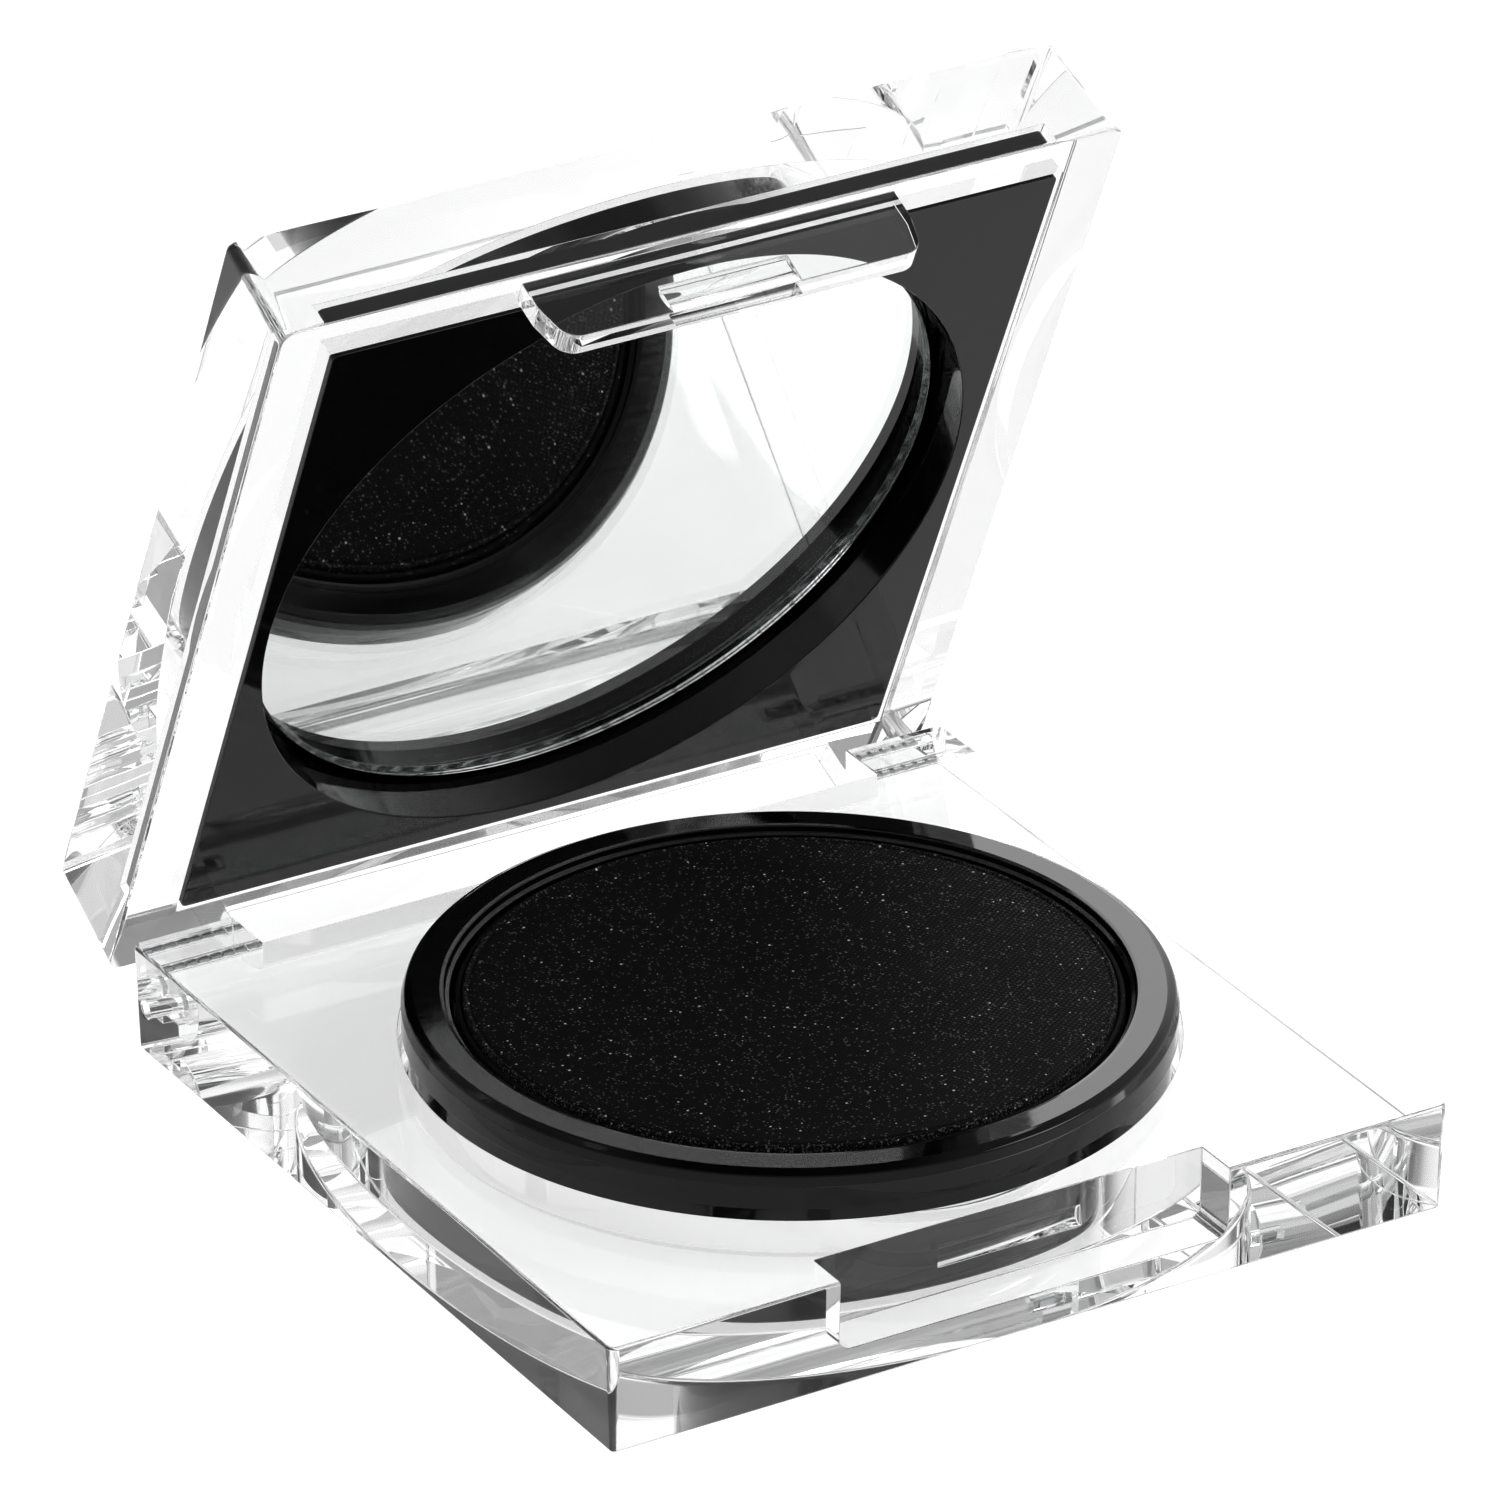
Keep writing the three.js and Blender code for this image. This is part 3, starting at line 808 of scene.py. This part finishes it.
def tongue_outline():
    """The latch tongue's face: straight sides, then a slightly narrower tip with round corners."""
    root = LID_FACE + 0.5
    shoulder = TONGUE_TIP_Z + 2 * TONGUE_TIP_R
    right = [
        (TONGUE_HALF, root, 0),
        (TONGUE_HALF, shoulder, 1.5),
        (TONGUE_TIP_HALF, TONGUE_TIP_Z, TONGUE_TIP_R),
    ]
    left = [(-x, z, r) for x, z, r in reversed(right)]
    return rounded(right + left)


def bezier(a, b, c, steps=8):
    """Points along a quadratic curve from a to c, pulled towards b."""
    a, b, c = Vector(a), Vector(b), Vector(c)
    shares = [k / steps for k in range(steps + 1)]
    return [a * (1 - t) ** 2 + b * (2 * t * (1 - t)) + c * t * t for t in shares]


def bead_outline():
    """The snap bead: a short catching side above its peak, a long lead-in below."""
    face = TONGUE_Y[1]
    peak = face + BEAD_OUT
    inside = face - BEAD_OUT
    middle = (BEAD_FOOT + BEAD_PEAK_Z) / 2
    outline = [Vector((inside, BEAD_FOOT))]
    outline += bezier((face, BEAD_FOOT), (peak, middle), (peak, BEAD_PEAK_Z))
    outline += bezier((peak, BEAD_PEAK_Z), (peak, BEAD_TOP), (face, BEAD_TOP))[1:]
    outline.append(Vector((inside, BEAD_TOP)))
    return outline


def ear_relief(start, end):
    """A shallow wedge off the lid's inner face, so that it clears the ear as it turns."""
    front, back = HINGE_Y - TROUGH_R - 0.2, HALF + OVERCUT
    below, relief = LID_FACE - OVERCUT, LID_FACE + 0.35
    outline = [(front, LID_FACE), (front, below), (back, below), (back, relief)]
    return prism("ear_relief", outline, "X", start, end)


def lid_body(material):
    """The clear lid block with its knuckle and latch tongue, hollowed for the plate and cup."""
    side = rounded(
        [
            (0, LID_FACE, 0),
            (HALF, LID_FACE, EDGE_R),
            (HALF - LID_DRAFT, LID_TOP, 2 * EDGE_R),
            (0, LID_TOP, 0),
        ]
    )
    block = square_slab("lid_body", side[1:-1], HALF - CORNER_R - LID_DRAFT)
    reach = EAR_X - KNUCKLE_GAP
    added = [
        prism("knuckle", knuckle_outline(), "X", -reach, reach),
        prism("tongue", tongue_outline(), "Y", *TONGUE_Y),
        prism("bead", bead_outline(), "X", -BEAD_HALF, BEAD_HALF),
    ]
    carve(block, added, "UNION")
    half = PLATE_HALF + PLATE_CLEAR
    below = LID_FACE - OVERCUT
    pocket_x = (-half, half)
    pocket_y = (CUP_Y - half, CUP_Y + half)
    pocket_z = (below, LID_FACE + PLATE_T + PLATE_CLEAR)
    bore_r = CUP_R + CUP_WALL + PLATE_CLEAR
    bore_top = CUP_BACK + CUP_BACK_GAP
    bore_end = reach - PIN_REACH - PIN_END_GAP
    tools = [
        cuboid("pocket", pocket_x, pocket_y, pocket_z),
        lathe("bore", [(0, below), (bore_r, below), (bore_r, bore_top), (0, bore_top)]),
        ear_relief(-HALF - OVERCUT, -reach),
        ear_relief(reach, HALF + OVERCUT),
        pin_bore(-EAR_X - OVERCUT, -bore_end),
        pin_bore(bore_end, EAR_X + OVERCUT),
    ]
    carve(block, tools)
    tidy_faces(block)
    soften(block, CUT_EDGE)
    return place(block, "lid", ["lid_shell"], "clear_acrylic", material, turn=OPEN_LID)


def plate_and_cup(material):
    """The black square plate flush in the lid's face, with the round cup behind it."""
    side = rounded(
        [
            (0, LID_FACE, 0),
            (PLATE_HALF, LID_FACE, 0.06),
            (PLATE_HALF, LID_FACE + PLATE_T, 0.06),
            (0, LID_FACE + PLATE_T, 0),
        ]
    )
    plate = square_slab("plate_and_cup", side[1:-1], PLATE_HALF - PLATE_CORNER_R, CUP_Y)
    cup_r, cup_front = CUP_R + CUP_WALL, LID_FACE + 0.3
    cup = [(0, cup_front), (cup_r, cup_front), (cup_r, CUP_BACK), (0, CUP_BACK)]
    below, bottom = LID_FACE - OVERCUT, CUP_BACK - CUP_WALL
    hollow = [(0, below), (CUP_R, below), (CUP_R, bottom), (0, bottom)]
    carve(plate, [lathe("cup", cup)], "UNION")
    carve(plate, [lathe("hollow", hollow)])
    tidy_faces(plate)
    soften(plate, 0.09)
    return place(plate, "lid", ["mirror_frame"], "black_gloss", material, turn=OPEN_LID)


def mirror_disc(glass, silver, edge):
    """A glass disc, silvered behind, with a bevelled and ground edge."""
    front, bevel = MIRROR_LO.z, MIRROR_BEVEL
    profile = [(0, front, 0), (MIRROR_R - bevel, front, 0.04)]
    profile += [(MIRROR_R, front + bevel, 0.04), (MIRROR_R, MIRROR_HI.z, 0.1)]
    profile.append((0, MIRROR_HI.z, 0))
    made = lathe("mirror_disc", rounded(profile))
    shade(made, 50)
    glass_slot, silver_slot, edge_slot = range(3)
    middle = (front + MIRROR_HI.z) / 2
    slots = []
    for polygon in made.data.polygons:
        flat_slot = glass_slot if polygon.center.z < middle else silver_slot
        slots.append(flat_slot if abs(polygon.normal.z) > 0.99 else edge_slot)
    finishes = (glass, silver, edge)
    placed = place(made, "lid", ["mirror"], "mirror_glass", *finishes, turn=OPEN_LID)
    placed.data.polygons.foreach_set("material_index", slots)
    return placed


# ---- stage ----------------------------------------------------------------------------------

CAMERA_AT = Vector((-334.5, -555.0, 356.5)) * MM
CAMERA_HEADING = 30.91
CAMERA_TILT = -27.16
CAMERA_ROLL = 0.14
LENS = 312.3

SIDE_LIGHT = 0.8  # radiance round the horizon
RIGHT_LIGHT = 0.5  # this much more towards the right
DARK_GAP = -0.42  # and this much in the backdrop's gap
UPWARD_FADES = ((0.25, 0.62, 0.6), (0.62, 0.85, 0.5), (0.90, 0.97, 0.1))  # from, to, what is left
TABLE_ALBEDO = 0.35
TABLE_MOTTLE = 0.01
TABLE_GLOW = 0.9
PAINTED_SHADOW_GLOW = 0.82  # the dimmer glow under the compact: a painted shadow
SHADE_INSET = 3.7 * MM  # the painted shadow fades out over this distance, up to the base's side
FLOOR_DROP = 0.05 * MM  # keeps the floor's face off the base's


def camera():
    """A long lens, in front of the compact and to its left, looking down on it."""
    data = bpy.data.cameras.new("camera")
    data.sensor_width = 36
    data.lens = LENS
    data.clip_start, data.clip_end = 0.01, 20
    made = bpy.data.objects.new("camera", data)
    made.location = CAMERA_AT
    heading = Matrix.Rotation(math.radians(-CAMERA_HEADING), 4, "Z")
    tilt = Matrix.Rotation(math.radians(90 + CAMERA_TILT), 4, "X")
    roll = Matrix.Rotation(math.radians(CAMERA_ROLL), 4, "Z")
    made.rotation_euler = (heading @ tilt @ roll).to_euler()
    bpy.context.scene.collection.objects.link(made)
    bpy.context.scene.camera = made


def floor():
    """A wide pale table top, lit from within, with a painted shadow under the compact, where it
    glows a little dimmer.
    """
    bm = bmesh.new()
    reach = 6.0
    corners = [(-reach, -reach), (reach, -reach), (reach, reach), (-reach, reach)]
    bm.faces.new([bm.verts.new((x, y, 0)) for x, y in corners])
    made = new_object("floor", bm)
    made.location.z = -FLOOR_DROP
    nodes = Nodes("pale_table")
    mottle = nodes.noise(40.0, 2.0)
    axes = nodes.add("SeparateXYZ", {"Vector": nodes.coordinates}).outputs
    along, across = (nodes.math("ABSOLUTE", axes[name]) for name in ("X", "Y"))
    beside = nodes.math("MAXIMUM", along, across)
    side = HALF * MM
    dim, pale = TABLE_ALBEDO - TABLE_MOTTLE, TABLE_ALBEDO + TABLE_MOTTLE
    settings = {
        "Base Color": nodes.mix(mottle, (dim, dim, dim, 1), (pale, pale, pale, 1)),
        "Roughness": 0.6,
        "Emission Color": (1, 1, 1, 1),
        # painted shadow: the glow is dimmer inside the compact's footprint
        "Emission Strength": nodes.span(
            beside, side - SHADE_INSET, side, PAINTED_SHADOW_GLOW, TABLE_GLOW
        ),
    }
    made.data.materials.append(nodes.surface(settings))


def world():
    """A plain studio: a band of light round the horizon that fades upwards, brighter towards the
    right, and with a dark gap in the backdrop."""
    made = bpy.data.worlds.new("studio")
    made.use_nodes = True
    tree = made.node_tree

    def node(kind, **settings):
        new = tree.nodes.new("ShaderNode" + kind)
        for key, value in settings.items():
            setattr(new, key, value)
        return new

    def ramp(value, from_min, from_max, to_min, to_max):
        new = node("MapRange", interpolation_type="SMOOTHSTEP")
        limits = (from_min, from_max, to_min, to_max)
        for key, limit in zip(("From Min", "From Max", "To Min", "To Max"), limits):
            new.inputs[key].default_value = limit
        tree.links.new(value, new.inputs["Value"])
        return new.outputs[0]

    def combine(operation, a, b):
        new = node("Math", operation=operation)
        tree.links.new(a, new.inputs[0])
        tree.links.new(b, new.inputs[1])
        return new.outputs[0]

    where = node("TexCoord").outputs["Generated"]
    flat = node("VectorMath", operation="MULTIPLY")
    tree.links.new(where, flat.inputs[0])
    flat.inputs[1].default_value = (1, 1, 0)
    compass = node("VectorMath", operation="NORMALIZE")
    tree.links.new(flat.outputs[0], compass.inputs[0])
    rise = node("SeparateXYZ")
    tree.links.new(where, rise.inputs[0])
    height = rise.outputs["Z"]

    def towards(turn):
        """1 towards this many degrees right of the camera's heading, and less to either side."""
        new = node("VectorMath", operation="DOT_PRODUCT")
        tree.links.new(compass.outputs[0], new.inputs[0])
        angle = math.radians(CAMERA_HEADING + turn)
        new.inputs[1].default_value = (math.sin(angle), math.cos(angle), 0)
        return new.outputs["Value"]

    right = ramp(towards(65), 0.3, 0.8, SIDE_LIGHT, SIDE_LIGHT + RIGHT_LIGHT)
    gap = ramp(towards(-22), 0.84, 0.97, 0.0, DARK_GAP)
    band = combine("ADD", right, gap)
    for low, high, left in UPWARD_FADES:
        band = combine("MULTIPLY", band, ramp(height, low, high, 1.0, left))
    background = tree.nodes["Background"]
    background.inputs["Color"].default_value = (1, 1, 1, 1)
    tree.links.new(band, background.inputs["Strength"])
    bpy.context.scene.world = made


def studio(turn, rise, distance):
    """A place in the studio, turned and raised this many degrees from the camera's heading."""
    turn, rise = math.radians(CAMERA_HEADING + turn), math.radians(rise)
    ground = distance * math.cos(rise)
    return Vector((ground * math.sin(turn), ground * math.cos(turn), distance * math.sin(rise)))


def softbox(name, at, facing, size, radiance, hidden_from=()):
    """A plain rectangular light of even radiance."""
    data = bpy.data.lights.new(name, "AREA")
    data.shape = "RECTANGLE"
    data.size, data.size_y = size
    data.energy = radiance * math.pi * size[0] * size[1]
    made = bpy.data.objects.new(name, data)
    made.location = at
    made.rotation_euler = facing.to_track_quat("-Z", "Y").to_euler()
    for rays in hidden_from:
        setattr(made, "visible_" + rays, False)
    bpy.context.scene.collection.objects.link(made)


def lights():
    """A key light high on the right, a panel behind, and a bright card on the table in front."""
    key = studio(turn=78, rise=50, distance=1.1)
    softbox("key_light", key, -key, size=(0.36, 0.36), radiance=4.5)
    back = studio(turn=4, rise=27, distance=1.2)
    softbox("back_light", back, -back, (0.6, 0.4), 3.1, hidden_from=["transmission"])
    card, up = Vector((0.062, -0.078, 0.0005)), Vector((0, 0, 1))
    unseen_by = ["camera", "diffuse", "transmission"]
    softbox("table_card", card, up, (0.09, 0.08), 3.0, hidden_from=unseen_by)


def light_paths():
    """Light in the acrylic is turned back many times by its faces before it leaves."""
    cycles = bpy.context.scene.cycles
    cycles.max_bounces = 40
    cycles.glossy_bounces = 40
    cycles.transmission_bounces = 40
    cycles.transparent_max_bounces = 24


# ---- assembly -------------------------------------------------------------------------------


def build():
    clear = acrylic()
    black = black_gloss()
    pin = steel("pin_steel", (0.62, 0.63, 0.64, 1), 0.15, (0.2, 1.0, 1.0))
    tin = steel("tinplate", (0.72, 0.73, 0.74, 1), 0.4, (1.0, 1.0, 0.3))
    tape = adhesive()
    base_body(clear)
    hinge_pin("pin_left", -1, "hinge_pin_left", pin)
    hinge_pin("pin_right", 1, "hinge_pin_right", pin)
    tape_disc("tape_under_tray", "tray_tape", "base", tape)
    tray(black)
    tape_disc("tape_under_pan", "pan_tape", "base", tape)
    metal_pan(tin, darkened_rim_metal())
    powder_cake(pressed_powder())
    lid_body(clear)
    plate_and_cup(black)
    mirror_disc(mirror_glass(), mirror_silver(), ground_glass())
    tape_disc("tape_behind_mirror", "mirror_tape", "lid", tape, turn=OPEN_LID)
    tape_disc("tape_behind_cup", "frame_tape", "lid", tape, turn=OPEN_LID)


def view_settings():
    """Tones as lit, with the darker ones deepened a little."""
    view = bpy.context.scene.view_settings
    view.view_transform = "Standard"
    view.gamma = 0.8


camera()
build()
floor()
world()
lights()
light_paths()
view_settings()
